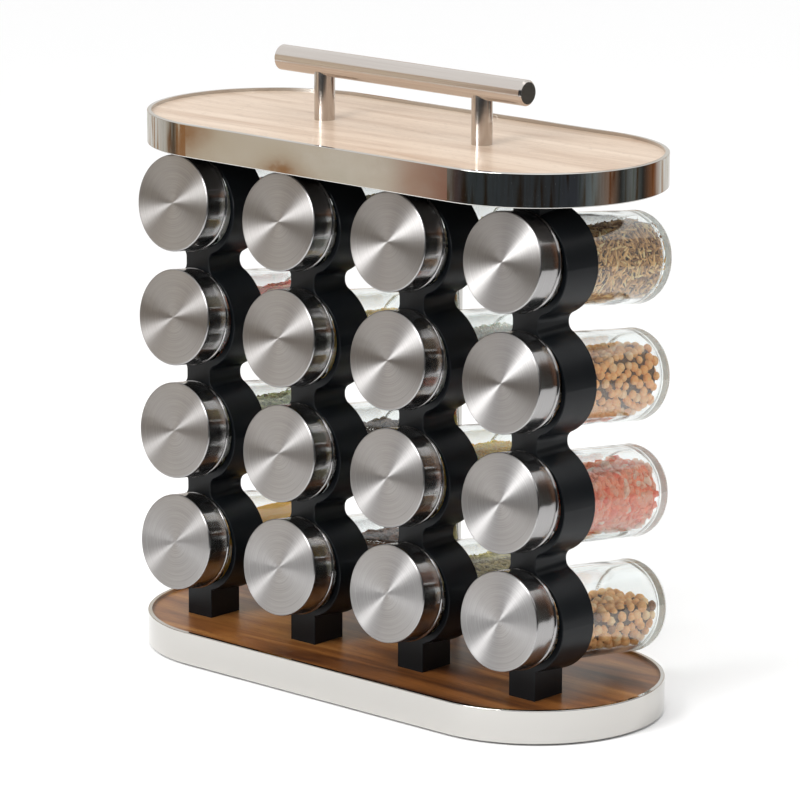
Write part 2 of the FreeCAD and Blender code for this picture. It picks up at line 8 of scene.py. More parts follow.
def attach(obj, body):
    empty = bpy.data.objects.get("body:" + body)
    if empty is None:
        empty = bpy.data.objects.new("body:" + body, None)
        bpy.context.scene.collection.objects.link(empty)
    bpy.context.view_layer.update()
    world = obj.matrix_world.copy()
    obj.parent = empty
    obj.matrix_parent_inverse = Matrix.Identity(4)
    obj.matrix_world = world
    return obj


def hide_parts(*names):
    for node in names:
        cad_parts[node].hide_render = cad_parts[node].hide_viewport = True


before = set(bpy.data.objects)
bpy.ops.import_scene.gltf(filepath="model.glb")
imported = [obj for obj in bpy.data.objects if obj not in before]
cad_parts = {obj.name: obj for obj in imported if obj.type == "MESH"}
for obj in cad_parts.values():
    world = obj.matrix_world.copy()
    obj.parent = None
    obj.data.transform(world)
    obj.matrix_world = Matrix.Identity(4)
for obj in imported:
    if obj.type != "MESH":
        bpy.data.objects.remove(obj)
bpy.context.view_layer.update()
mm = 0.001
print("Frame loaded:", len(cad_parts), "nodes")

cameraSetup = {
    "place": (1.4199, -1.5844, 0.6347),  # metres
    "turned": 41.88,  # degrees round the object, towards its right side
    "down": 13.27,
    "roll": 0.20,
    "lens": 209.93,
}
bpy.ops.object.camera_add(location=cameraSetup["place"])
camera = bpy.context.object
camera.data.lens = cameraSetup["lens"]
camera.data.clip_end = 30
camera.rotation_euler = (
    Matrix.Rotation(math.radians(cameraSetup["turned"]), 4, "Z")
    @ Matrix.Rotation(math.radians(90 - cameraSetup["down"]), 4, "X")
    @ Matrix.Rotation(math.radians(cameraSetup["roll"]), 4, "Z")
).to_euler()
bpy.context.scene.camera = camera


def linear(hexColour):
    channels = [int(hexColour[i:i + 2], 16) / 255 for i in (1, 3, 5)]
    return [c / 12.92 if c <= 0.04045 else ((c + 0.055) / 1.055) ** 2.4 for c in channels] + [1]


def addNode(tree, kind, settings=None, links=None):
    node = tree.nodes.new("ShaderNode" + kind)
    for name, value in (settings or {}).items():
        if isinstance(name, str) and name[0].islower():
            setattr(node, name, value)
        else:
            node.inputs[name].default_value = value
    for name, source in (links or {}).items():
        tree.links.new(source, node.inputs[name])
    return node


def newMaterial(name):
    material = bpy.data.materials.new(name)
    material.use_nodes = True
    material.node_tree.nodes.clear()
    return material, material.node_tree


def finishMaterial(tree, shader):
    addNode(tree, "OutputMaterial", {}, {"Surface": shader.outputs[0]})


def patternAt(tree, sizeMm, turned=(0, 0, 0)):
    # object coordinates scaled so that one unit of the pattern is sizeMm long
    coordinates = addNode(tree, "TexCoord")
    return addNode(
        tree,
        "Mapping",
        {"Scale": [1 / (s * mm) for s in sizeMm], "Rotation": turned},
        {"Vector": coordinates.outputs["Object"]},
    ).outputs[0]


def setRamp(node, stops):
    ramp = node.color_ramp
    while len(ramp.elements) < len(stops):
        ramp.elements.new(0.5)
    for element, (position, colour) in zip(ramp.elements, stops):
        element.position = position
        element.color = colour
    return node


def grey(level):
    return (level, level, level, 1)


# Stainless 304, rolled and buffed to a mirror: sharp reflections, slightly wavy in the long
# stretches of sheet, with a film of finger marks.
def polishedSteel():
    material, tree = newMaterial("polishedStainlessSteel")
    waves = addNode(
        tree, "TexNoise", {"Scale": 1, "Detail": 1}, {"Vector": patternAt(tree, (38, 38, 60))}
    )
    marks = addNode(
        tree, "TexNoise", {"Scale": 1, "Detail": 6, "Roughness": 0.6}, {"Vector": patternAt(tree, (9, 9, 6))}
    )
    film = setRamp(
        addNode(tree, "ValToRGB", {}, {"Fac": marks.outputs["Fac"]}), [(0.35, grey(0.03)), (0.75, grey(0.09))]
    )
    bump = addNode(
        tree, "Bump", {"Strength": 1.0, "Distance": 0.00011}, {"Height": waves.outputs["Fac"]}
    )
    shader = addNode(
        tree,
        "BsdfPrincipled",
        {"Base Color": linear("#C3C1BD"), "Metallic": 1},
        {"Roughness": film.outputs["Color"], "Normal": bump.outputs[0]},
    )
    finishMaterial(tree, shader)
    return material


# Stainless bar and tube with a fine lengthwise grain: soft along the grain's cross
# direction, with hair-thin bright scratches.
def brushedSteel(name, grainMm, colour, roughness):
    material, tree = newMaterial(name)
    grain = addNode(
        tree, "TexNoise", {"Scale": 1, "Detail": 3, "Roughness": 0.7}, {"Vector": patternAt(tree, grainMm)}
    )
    sheen = setRamp(
        addNode(tree, "ValToRGB", {}, {"Fac": grain.outputs["Fac"]}),
        [(0.3, grey(roughness * 0.8)), (0.7, grey(roughness * 1.35))],
    )
    tone = addNode(
        tree,
        "Mix",
        {"data_type": "RGBA", 6: linear(colour), 7: [c * 0.82 for c in linear(colour)[:3]] + [1]},
        {0: grain.outputs["Fac"]},
    )
    bump = addNode(
        tree, "Bump", {"Strength": 0.25, "Distance": 0.00002}, {"Height": grain.outputs["Fac"]}
    )
    shader = addNode(
        tree,
        "BsdfPrincipled",
        {"Metallic": 1},
        {"Base Color": tone.outputs[2], "Roughness": sheen.outputs["Color"], "Normal": bump.outputs[0]},
    )
    finishMaterial(tree, shader)
    return material


# Stainless lid, spun against an abrasive pad: the grooves run round the axis, so light is
# drawn out along the radius into two bright wedges.
def spunSteel():
    material, tree = newMaterial("spunStainlessSteel")
    wrap = addNode(tree, "UVMap", {"uv_map": "spun"})
    grooves = addNode(
        tree,
        "Mapping",
        {"Scale": (3.0, 1 / (0.35 * mm), 1)},  # 0.35 mm apart, coarser than the pad leaves them
        {"Vector": wrap.outputs[0]},
    )
    lines = addNode(
        tree, "TexNoise", {"Scale": 1, "Detail": 2, "Roughness": 0.6}, {"Vector": grooves.outputs[0]}
    )
    coarse = setRamp(
        addNode(tree, "ValToRGB", {}, {"Fac": lines.outputs["Fac"]}), [(0.3, grey(0.3)), (0.7, grey(0.4))]
    )
    across = addNode(tree, "SeparateXYZ", {}, {"Vector": wrap.outputs[0]})
    fromCentre = addNode(tree, "Math", {"operation": "MULTIPLY", 1: 20}, {0: across.outputs["Y"]})
    sideways = setRamp(
        addNode(tree, "ValToRGB", {}, {"Fac": fromCentre.outputs[0]}), [(0.45, grey(1)), (0.48, grey(0.5))]
    )  # the side of the lid, beyond 23 mm from the centre, is drawn finer than its face
    sheen = addNode(
        tree,
        "Mix",
        {"data_type": "RGBA", "blend_type": "MULTIPLY", 0: 1},
        {6: coarse.outputs["Color"], 7: sideways.outputs["Color"]},
    )
    tone = addNode(
        tree,
        "Mix",
        {"data_type": "RGBA", 6: linear("#B2B1B1"), 7: linear("#868483")},
        {0: lines.outputs["Fac"]},
    )
    tangent = addNode(tree, "Tangent", {"direction_type": "UV_MAP", "uv_map": "spun"})
    shader = addNode(
        tree,
        "BsdfPrincipled",
        {"Metallic": 1, "Anisotropic": 0.9, "Anisotropic Rotation": 0.25},
        {
            "Base Color": tone.outputs[2],
            "Roughness": sheen.outputs[2],
            "Tangent": tangent.outputs[0],
        },
    )
    finishMaterial(tree, shader)
    return material


# ABS, injection moulded in a finely eroded tool: near black, a soft satin sheen with a
# faint grain and slow flow marks.
def mouldedPlastic(name, colour, roughness):
    material, tree = newMaterial(name)
    grain = addNode(
        tree, "TexNoise", {"Scale": 1, "Detail": 2}, {"Vector": patternAt(tree, (0.35, 0.35, 0.35))}
    )
    flow = addNode(
        tree, "TexNoise", {"Scale": 1, "Detail": 3}, {"Vector": patternAt(tree, (14, 14, 30))}
    )
    sheen = setRamp(
        addNode(tree, "ValToRGB", {}, {"Fac": flow.outputs["Fac"]}),
        [(0.3, grey(roughness * 0.85)), (0.7, grey(roughness * 1.15))],
    )
    bump = addNode(
        tree, "Bump", {"Strength": 0.35, "Distance": 0.00002}, {"Height": grain.outputs["Fac"]}
    )
    shader = addNode(
        tree,
        "BsdfPrincipled",
        {"Base Color": linear(colour), "Specular IOR Level": 0.22},
        {"Roughness": sheen.outputs["Color"], "Normal": bump.outputs[0]},
    )
    finishMaterial(tree, shader)
    return material


# Acacia veneer under satin lacquer, its grain along the plate: wide bands of heartwood,
# fine fibres, and short dark pores.
def lacqueredWood(name, pale, middle, dark, poreColour, gloss):
    material, tree = newMaterial(name)
    bands = addNode(
        tree,
        "TexNoise",
        {"Scale": 1, "Detail": 5, "Roughness": 0.55, "Distortion": 0.5},
        {"Vector": patternAt(tree, (170, 15, 15))},
    )
    colour = setRamp(
        addNode(tree, "ValToRGB", {}, {"Fac": bands.outputs["Fac"]}),
        [(0.32, linear(pale)), (0.5, linear(middle)), (0.68, linear(dark))],
    )
    fibres = addNode(
        tree,
        "TexNoise",
        {"Scale": 1, "Detail": 4, "Roughness": 0.65},
        {"Vector": patternAt(tree, (30, 0.8, 0.8))},
    )
    fibred = addNode(
        tree,
        "Mix",
        {"data_type": "RGBA", "blend_type": "SOFT_LIGHT", 0: 0.55},
        {6: colour.outputs["Color"], 7: fibres.outputs["Fac"]},
    )
    pores = addNode(
        tree, "TexNoise", {"Scale": 1, "Detail": 1}, {"Vector": patternAt(tree, (5, 0.45, 0.45))}
    )
    poreMask = setRamp(
        addNode(tree, "ValToRGB", {}, {"Fac": pores.outputs["Fac"]}), [(0.66, grey(0)), (0.74, grey(0.75))]
    )
    pored = addNode(
        tree,
        "Mix",
        {"data_type": "RGBA", 7: linear(poreColour)},
        {0: poreMask.outputs["Color"], 6: fibred.outputs[2]},
    )
    bump = addNode(
        tree, "Bump", {"Strength": 0.3, "Distance": 0.00005}, {"Height": fibres.outputs["Fac"]}
    )
    shader = addNode(
        tree,
        "BsdfPrincipled",
        {"Roughness": 0.4, "Coat Weight": gloss, "Coat Roughness": 0.16},
        {"Base Color": pored.outputs[2], "Normal": bump.outputs[0]},
    )
    finishMaterial(tree, shader)
    return material


# Soda-lime glass, pressed and blown: clear, faintly green through its thick base. The
# underside leaves the mould stippled and scatters the light.
def jarGlass():
    material, tree = newMaterial("sodaLimeGlass")
    ripple = addNode(
        tree, "TexNoise", {"Scale": 1, "Detail": 1}, {"Vector": patternAt(tree, (16, 22, 16))}
    )
    bump = addNode(
        tree, "Bump", {"Strength": 0.6, "Distance": 0.0003}, {"Height": ripple.outputs["Fac"]}
    )
    stipple = addNode(tree, "Attribute", {"attribute_name": "stipple"})
    sheen = setRamp(
        addNode(tree, "ValToRGB", {}, {"Fac": stipple.outputs["Fac"]}), [(0.2, grey(0)), (0.8, grey(0.42))]
    )
    glass = addNode(
        tree,
        "BsdfPrincipled",
        {"Base Color": linear("#FDFEFE"), "IOR": 1.5, "Transmission Weight": 1},
        {"Roughness": sheen.outputs["Color"], "Normal": bump.outputs[0]},
    )
    clear = addNode(tree, "BsdfTransparent", {"Color": linear("#F4F9F7")})
    path = addNode(tree, "LightPath")
    shader = addNode(
        tree,
        "MixShader",
        {},
        {0: path.outputs["Is Shadow Ray"], 1: glass.outputs[0], 2: clear.outputs[0]},
    )
    tint = addNode(tree, "VolumeAbsorption", {"Color": (0.25, 0.72, 0.58, 1), "Density": 9})
    addNode(tree, "OutputMaterial", {}, {"Surface": shader.outputs[0], "Volume": tint.outputs[0]})
    return material


# Silicone rubber, pressed sheet: matt black, slightly dusty.
def rubber():
    material, tree = newMaterial("siliconeRubber")
    dust = addNode(tree, "TexNoise", {"Scale": 1, "Detail": 6}, {"Vector": patternAt(tree, (4, 4, 4))})
    colour = setRamp(
        addNode(tree, "ValToRGB", {}, {"Fac": dust.outputs["Fac"]}),
        [(0.4, linear("#1C1C1D")), (0.8, linear("#2C2C2D"))],
    )
    shader = addNode(tree, "BsdfPrincipled", {"Roughness": 0.8}, {"Base Color": colour.outputs["Color"]})
    finishMaterial(tree, shader)
    return material


# Fibreboard, pressed wood fibre under a dark paper face: dull and faintly flecked.
def fibreboard():
    material, tree = newMaterial("blackFacedFibreboard")
    fleck = addNode(
        tree, "TexNoise", {"Scale": 1, "Detail": 5}, {"Vector": patternAt(tree, (1.6, 1.6, 1.6))}
    )
    colour = setRamp(
        addNode(tree, "ValToRGB", {}, {"Fac": fleck.outputs["Fac"]}),
        [(0.3, linear("#241F1C")), (0.75, linear("#3A322C"))],
    )
    shader = addNode(tree, "BsdfPrincipled", {"Roughness": 0.6}, {"Base Color": colour.outputs["Color"]})
    finishMaterial(tree, shader)
    return material


def dress(material, *nodes):
    for name in nodes:
        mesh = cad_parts[name].data
        mesh.materials.clear()
        mesh.materials.append(material)


mirror = polishedSteel()
barSteel = brushedSteel("brushedBarSteel", (60, 0.5, 0.5), "#D6CFC9", 0.15)
postSteel = brushedSteel("brushedPostSteel", (0.5, 0.5, 40), "#D6CFC9", 0.15)
zincSteel = brushedSteel("zincPlatedSteel", (3, 3, 3), "#A9ADB0", 0.35)
ballSteel = brushedSteel("bearingSteel", (2, 2, 2), "#C9CACC", 0.12)
blackPlastic = mouldedPlastic("blackAbs", "#0F1215", 0.36)
dress(mirror, "base_band", "top_band")
dress(barSteel, "handle_bar")
dress(postSteel, "handle_post_left", "handle_post_right")
dress(zincSteel, "swivel_lower_plate", "swivel_upper_plate", "swivel_pin")
dress(zincSteel, "swivel_screws", "base_screws", "top_screws", "handle_screws")
dress(ballSteel, "swivel_balls")
dress(rubber(), "swivel_pad")
dress(fibreboard(), "base_board", "top_board")
dress(blackPlastic, "column_1", "column_2", "column_3", "column_4")
# the top and base plates are the same acacia; the top is painted paler as painted light from above, the base
# browner as painted shade
dress(lacqueredWood("acaciaTopPaintedLight", "#D2BEAA", "#C8B29D", "#B3977F", "#8C7465", 0.22), "top_inlay")
dress(lacqueredWood("acaciaBasePaintedShade", "#B07C42", "#825025", "#492710", "#261409", 0.12), "base_inlay")
print("CAD nodes dressed")

# Sizes of pieces are in mm; a turned piece is modelled on +Z with its front at 0.
pole = 0.004  # how near the axis a profile begins and ends, so that its ring closes to a point
jarSizes = {
    "sides": 216,
    "radius": 21.55,
    "wall": 2.2,
    "length": 94.4,
    "floor": 3.8,
    "heapFront": -27,  # where the spice ends towards the mouth, as the jar lies
    "heapMiddle": -52,  # where the level of the spice is measured
    "heel": 3.8,  # height of the rounding round the underside
    "stippled": 2.4,  # height up to which the mould has stippled the heel
    "knurl": 0.42,  # how far the gripping nibs stand out round the heel
    "knurlTop": 2.8,
    "knurlInside": 19.5,
    "threadCrest": 18.9,
    "threadRoot": 18.1,
    "threadPitch": 3.2,
}
lidSizes = {
    "sides": 160,
    "radius": 22.9,
    "bead": 23.3,
    "depth": 13.5,
    "sheet": 0.35,
    "edge": 0.7,
    "coreInside": 19.3,
    "coreRoot": 20.1,
}
rows = 4
columns = 4
tilt = math.radians(7)
outward = Vector((0, -math.cos(tilt), math.sin(tilt)))  # along a jar, towards its mouth
upward = Vector((0, math.sin(tilt), math.cos(tilt)))


def frontOf(node):
    # turns and moves a piece modelled on +Z, its front at 0, onto a tilted node's own line
    points = [v.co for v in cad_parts[node].data.vertices]
    acrossAll = [p.x for p in points]
    upAll = [p.dot(upward) for p in points]
    outAll = [p.dot(outward) for p in points]
    corner = (
        Vector(((min(acrossAll) + max(acrossAll)) / 2, 0, 0))
        + upward * (min(upAll) + max(upAll)) / 2
        + outward * max(outAll)
    )
    turned = Matrix((Vector((1, 0, 0)), upward, outward)).transposed().to_4x4()
    return Matrix.Translation(corner) @ turned


def pickOnly(piece):
    bpy.ops.object.select_all(action="DESELECT")
    piece.select_set(True)
    bpy.context.view_layer.objects.active = piece


def turnPiece(name, profile, sides):
    # lathe work: a ring is drawn out along the axis and scaled to each next radius
    bpy.ops.object.select_all(action="DESELECT")
    radius, height = profile[0]
    bpy.ops.mesh.primitive_circle_add(vertices=sides, radius=radius * mm)
    piece = bpy.context.object
    piece.name = name
    bpy.ops.object.mode_set(mode="EDIT")
    bpy.ops.mesh.select_all(action="SELECT")
    bpy.ops.transform.translate(value=(0, 0, height * mm))
    for nextRadius, nextHeight in profile[1:]:
        bpy.ops.mesh.extrude_edges_move(
            TRANSFORM_OT_translate={"value": (0, 0, (nextHeight - height) * mm)}
        )
        factor = nextRadius / radius
        bpy.ops.transform.resize(value=(factor, factor, 1), center_override=(0, 0, 0))
        radius, height = nextRadius, nextHeight
    bpy.ops.mesh.select_all(action="SELECT")
    bpy.ops.mesh.remove_doubles(threshold=0.00002)
    bpy.ops.mesh.normals_make_consistent(inside=False)
    bpy.ops.object.mode_set(mode="OBJECT")
    return piece


def smooth(piece, degrees):
    pickOnly(piece)
    bpy.ops.object.shade_smooth_by_angle(angle=math.radians(degrees))


def cutThread(piece, root, crest, pitch, top, bottom):
    # winds a ridge round the vertices that lie on the root radius
    for vertex in piece.data.vertices:
        x, y, z = vertex.co / mm
        if abs(math.hypot(x, y) - root) > 0.02 or not bottom <= z <= top:
            continue
        turnShare = math.atan2(y, x) / (2 * math.pi)
        phase = ((z - turnShare * pitch) / pitch) % 1
        ridge = max(0, 1 - abs(phase - 0.5) / 0.28) ** 0.6
        fade = min(1, (top - z) / 1.5, (z - bottom) / 1.5)
        factor = 1 + (crest - root) * ridge * max(0, fade) / root
        vertex.co.x *= factor
        vertex.co.y *= factor


def steps(start, end, count):
    return [start + (end - start) * i / count for i in range(count + 1)]


def makeJar():
    s = jarSizes
    r, length = s["radius"], s["length"]
    inner = r - s["wall"]
    floorTop = s["floor"] - length
    root = s["threadRoot"]
    profile = [(pole, -length + 1.1), (8, -length + 1.0), (14, -length + 0.6), (17.6, -length + 0.12)]
    profile += [(18.8, -length), (19.7, 0.15 - length), (20.4, 0.5 - length), (20.95, 1.0 - length)]
    profile += [(21.3, 1.7 - length), (r - 0.06, 2.6 - length), (r, s["heel"] - length)]
    profile += [(r, z) for z in steps(-length + 10, -22, 5)]
    profile += [(r, -17.6), (r - 0.25, -16.5), (r - 1.0, -15.6), (r - 2.1, -14.8), (root + 0.25, -13.9)]
    profile += [(root, z) for z in steps(-13.0, -1.2, 26)]
    profile += [(root - 0.15, -0.6), (root - 0.5, -0.15), (root - 1.0, 0)]
    profile += [(root - 1.6, -0.15), (root - 1.95, -0.6)]
    neckInside = root - 2.05
    profile += [(neckInside, z) for z in steps(-1.3, -13.4, 3)]
    profile += [(neckInside + 0.5, -14.8), (neckInside + 1.7, -16.2), (inner - 0.5, -17.8), (inner, -19.8)]
    profile += [(inner, z) for z in steps(-30, floorTop + 6, 4)]
    profile += [(inner, floorTop + 3.2), (inner - 0.4, floorTop + 1.7), (inner - 1.4, floorTop + 0.6)]
    profile += [(inner - 3, floorTop + 0.1), (12, floorTop + 0.25), (pole, floorTop + 0.7)]
    jar = turnPiece("jar", profile, s["sides"])
    cutThread(jar, root, s["threadCrest"], s["threadPitch"], -1.3, -12.8)
    knurl = s["knurl"]
    for vertex in jar.data.vertices:
        x, y, z = vertex.co / mm
        radius = math.hypot(x, y)
        if radius > s["knurlInside"] and z < s["knurlTop"] - length:
            spoke = round(math.atan2(y, x) / (2 * math.pi) * s["sides"])
            push = knurl if spoke % 2 else -knurl
            away = Vector((x, y, (z - (s["heel"] - length)) * 0.8)).normalized()
            vertex.co += away * push * mm * 0.5
    smooth(jar, 60)
    return jar


def wrapSpun(piece):
    # U runs round the axis and V from the centre of the face out and down the side, in metres
    layer = piece.data.uv_layers.new(name="spun")
    for polygon in piece.data.polygons:
        centre = math.atan2(polygon.center.y, polygon.center.x)
        for loopIndex in polygon.loop_indices:
            point = piece.data.vertices[piece.data.loops[loopIndex].vertex_index].co
            radius = math.hypot(point.x, point.y)
            angle = math.atan2(point.y, point.x) if radius > 1e-5 else centre
            angle += 2 * math.pi * round((centre - angle) / (2 * math.pi))
            layer.data[loopIndex].uv = (angle / (2 * math.pi), radius - point.z)


def makeLidShell():
    s = lidSizes
    r, bead, depth, edge, sheet = s["radius"], s["bead"], s["depth"], s["edge"], s["sheet"]
    profile = [(pole, 0)] + [(radius, 0) for radius in (0.4, 2, 5, 9, 13, 17, 20, 21.6)]
    for angle in range(0, 91, 15):
        a = math.radians(angle)
        profile.append((r - edge + edge * math.sin(a), -edge + edge * math.cos(a)))
    profile += [(r, -3.5), (r, -7.5), (r, 1.5 - depth), (r - 0.12, 1.25 - depth), (r + 0.1, 1.05 - depth)]
    profile += [(bead - 0.05, 0.8 - depth), (bead, 0.5 - depth), (bead - 0.1, 0.15 - depth), (r, -depth)]
    inside = r - sheet
    profile += [(inside, 0.15 - depth), (inside, -edge), (inside - edge, -sheet), (pole, -sheet)]
    shell = turnPiece("lidShell", profile, s["sides"])
    wrapSpun(shell)
    smooth(shell, 40)
    return shell


def makeLidCore():
    s = lidSizes
    outside = s["radius"] - s["sheet"] - 0.08
    top = -s["sheet"] - 0.05
    root = s["coreRoot"]
    profile = [(pole, top), (outside - 0.7, top), (outside, top - 0.7), (outside, 0.5 - s["depth"])]
    profile += [(outside - 0.4, 0.1 - s["depth"]), (root + 0.4, 0.1 - s["depth"])]
    profile += [(root, z) for z in steps(0.4 - s["depth"], -2.4, 20)]
    profile += [(root, -1.5), (root - 0.3, -1.2), (pole, -1.2)]
    core = turnPiece("lidCore", profile, 120)
    cutThread(core, root, s["coreInside"], jarSizes["threadPitch"], -2.4, 0.4 - s["depth"])
    smooth(core, 35)
    return core


# Spices. Sizes in mm: length, width and thickness of one grain. "level" in fills is the
# height of the heap over the jar's middle line, measured plumb.
spices = {
    "cumin": {"shape": "seed", "size": (6.2, 1.45, 1.25), "gap": 1.5, "bumps": 1.3, "tumble": 0.35,
              "colours": ["#3A2618", "#6A4C32", "#94704A", "#C4A172", "#EED9A8"]},
    "mustard": {"shape": "ball", "size": (4.5, 4.3, 4.2), "gap": 3.35, "bumps": 0.8, "tumble": 1,
                "colours": ["#5A3A2A", "#BE8A55", "#D09C66", "#DCAE7C", "#E8C8A2"]},
    "coriander": {"shape": "ribbed", "size": (5.0, 4.7, 4.7), "gap": 3.7, "bumps": 1.6, "tumble": 1,
                  "colours": ["#6D4B30", "#A87C50", "#C29462", "#D4AC7C", "#E4C8A0"]},
    "pinkSalt": {"shape": "crystal", "size": (6.2, 4.9, 4.2), "gap": 2.6, "bumps": 1.2, "tumble": 1,
                 "colours": ["#B5482C", "#DF6B4C", "#EA8A6A", "#F0A890", "#F4CDBE"]},
    "chilliFlakes": {"shape": "flake", "size": (4.2, 3.0, 0.5), "gap": 1.7, "bumps": 0.8, "tumble": 0.5,
                     "colours": ["#7E1F14", "#A93623", "#C4573B", "#DE9A78", "#EBC9A0"]},
    "oregano": {"shape": "flake", "size": (3.6, 2.2, 0.4), "gap": 1.3, "bumps": 0.8, "tumble": 0.6,
                "colours": ["#4C523A", "#667050", "#7F8863", "#98A07B", "#B3B694"]},
    "turmeric": {"shape": None, "size": (0.8, 0.8, 0.8), "gap": 1, "bumps": 0.5, "tumble": 1,
                 "colours": ["#C88A1E", "#D79A26", "#E2A931", "#EAB843", "#F0C75C"]},
    "onion": {"shape": "flake", "size": (4.0, 3.0, 0.7), "gap": 1.9, "bumps": 0.9, "tumble": 0.5,
              "colours": ["#B99B6B", "#DCCBA6", "#E9DCC0", "#F1E8D3", "#F8F3E6"]},
    "pepper": {"shape": "ribbed", "size": (4.4, 4.2, 4.2), "gap": 3.6, "bumps": 1, "tumble": 1,
               "colours": ["#1C1613", "#2B211B", "#3A2D25", "#4A3A30", "#5E4B3D"]},
    "cloves": {"shape": "seed", "size": (8.5, 2.6, 2.4), "gap": 2.5, "bumps": 1.4, "tumble": 0.4,
               "colours": ["#2A1811", "#3C2418", "#4D2F20", "#5F3C29", "#704A34"]},
    "granules": {"shape": "crystal", "size": (2.1, 1.8, 1.6), "gap": 1.35, "bumps": 0.6, "tumble": 1,
                 "colours": ["#C4932F", "#D5A93F", "#E2BC58", "#EBCB76", "#F2DB98"]},
    "fennel": {"shape": "seed", "size": (6.4, 2.0, 1.7), "gap": 1.7, "bumps": 1.2, "tumble": 0.4,
               "colours": ["#6B6346", "#857C58", "#9D9469", "#B4AA7E", "#CBC199"]},
    "seaSalt": {"shape": "crystal", "size": (2.6, 2.2, 1.9), "gap": 1.6, "bumps": 0.7, "tumble": 1,
                "colours": ["#D9D6D0", "#E6E4DF", "#EFEEEA", "#F6F5F2", "#FCFCFA"]},
}
fills = {  # spice and level by row and column, row 1 at the top and column 1 at the left
    (1, 1): ("seaSalt", 8), (1, 2): ("onion", 7), (1, 3): ("onion", 4), (1, 4): ("cumin", 12.5),
    (2, 1): ("chilliFlakes", 9), (2, 2): ("granules", 6), (2, 3): ("seaSalt", 9), (2, 4): ("mustard", 11.5),
    (3, 1): ("oregano", 9), (3, 2): ("pepper", 8), (3, 3): ("granules", 7), (3, 4): ("pinkSalt", 11.5),
    (4, 1): ("turmeric", 8), (4, 2): ("cloves", 7), (4, 3): ("fennel", 8), (4, 4): ("coriander", 3.5),
}


def grainShape(kind):
    # one grain, 1 m across before it is scaled, drawn from a primitive and pulled to shape
    bpy.ops.object.select_all(action="DESELECT")
    if kind == "seed":
        bpy.ops.mesh.primitive_uv_sphere_add(
            segments=6, ring_count=5, radius=0.5, rotation=(0, math.pi / 2, 0)
        )
    elif kind == "ball":
        bpy.ops.mesh.primitive_ico_sphere_add(subdivisions=2, radius=0.5)
    elif kind == "ribbed":
        bpy.ops.mesh.primitive_uv_sphere_add(segments=12, ring_count=6, radius=0.5)
    elif kind == "crystal":
        bpy.ops.mesh.primitive_ico_sphere_add(subdivisions=1, radius=0.5)
    else:
        bpy.ops.mesh.primitive_grid_add(x_subdivisions=3, y_subdivisions=2, size=1)
    bpy.ops.object.transform_apply(location=False, rotation=True, scale=False)
    grain = bpy.context.object
    if kind == "flake":
        bpy.ops.object.modifier_add(type="SOLIDIFY")
        grain.modifiers["Solidify"].thickness = 0.3
        bpy.ops.object.modifier_apply(modifier="Solidify")
    for vertex in grain.data.vertices:
        x, y, z = vertex.co
        if kind == "seed":
            narrowing = 1 - 0.55 * abs(2 * x) ** 1.5
            vertex.co = (x, y * narrowing, z * narrowing + 0.12 * (1 - 4 * x * x))
        elif kind == "ribbed":
            rib = 1 + 0.07 * math.cos(6 * math.atan2(y, x)) * (1 - abs(2 * z))
            vertex.co = (x * rib, y * rib, z * 0.95)
        elif kind == "flake":
            vertex.co = (x * (1 - 0.5 * abs(y)), y * (1 - 0.6 * abs(x)), z + 1.1 * x * x + 0.8 * x * y)
        elif kind == "crystal":
            vertex.co *= 1 + 0.45 * noise.noise(vertex.co * 5.3)
    shape = np.array([v.co for v in grain.data.vertices])
    faces = [tuple(p.vertices) for p in grain.data.polygons]
    bpy.data.objects.remove(grain)
    return shape, faces


def heapHeight(points, level, bumps, seed):
    # how far each point lies below the top of the heap, in mm, plumb
    roll = np.array([noise.noise(Vector((p[0] * 0.11 + seed, p[2] * 0.11, seed))) for p in points])
    behind = points[:, 2] - jarSizes["heapMiddle"]
    return level + bumps * roll - (points[:, 1] * math.cos(tilt) + behind * math.sin(tilt))


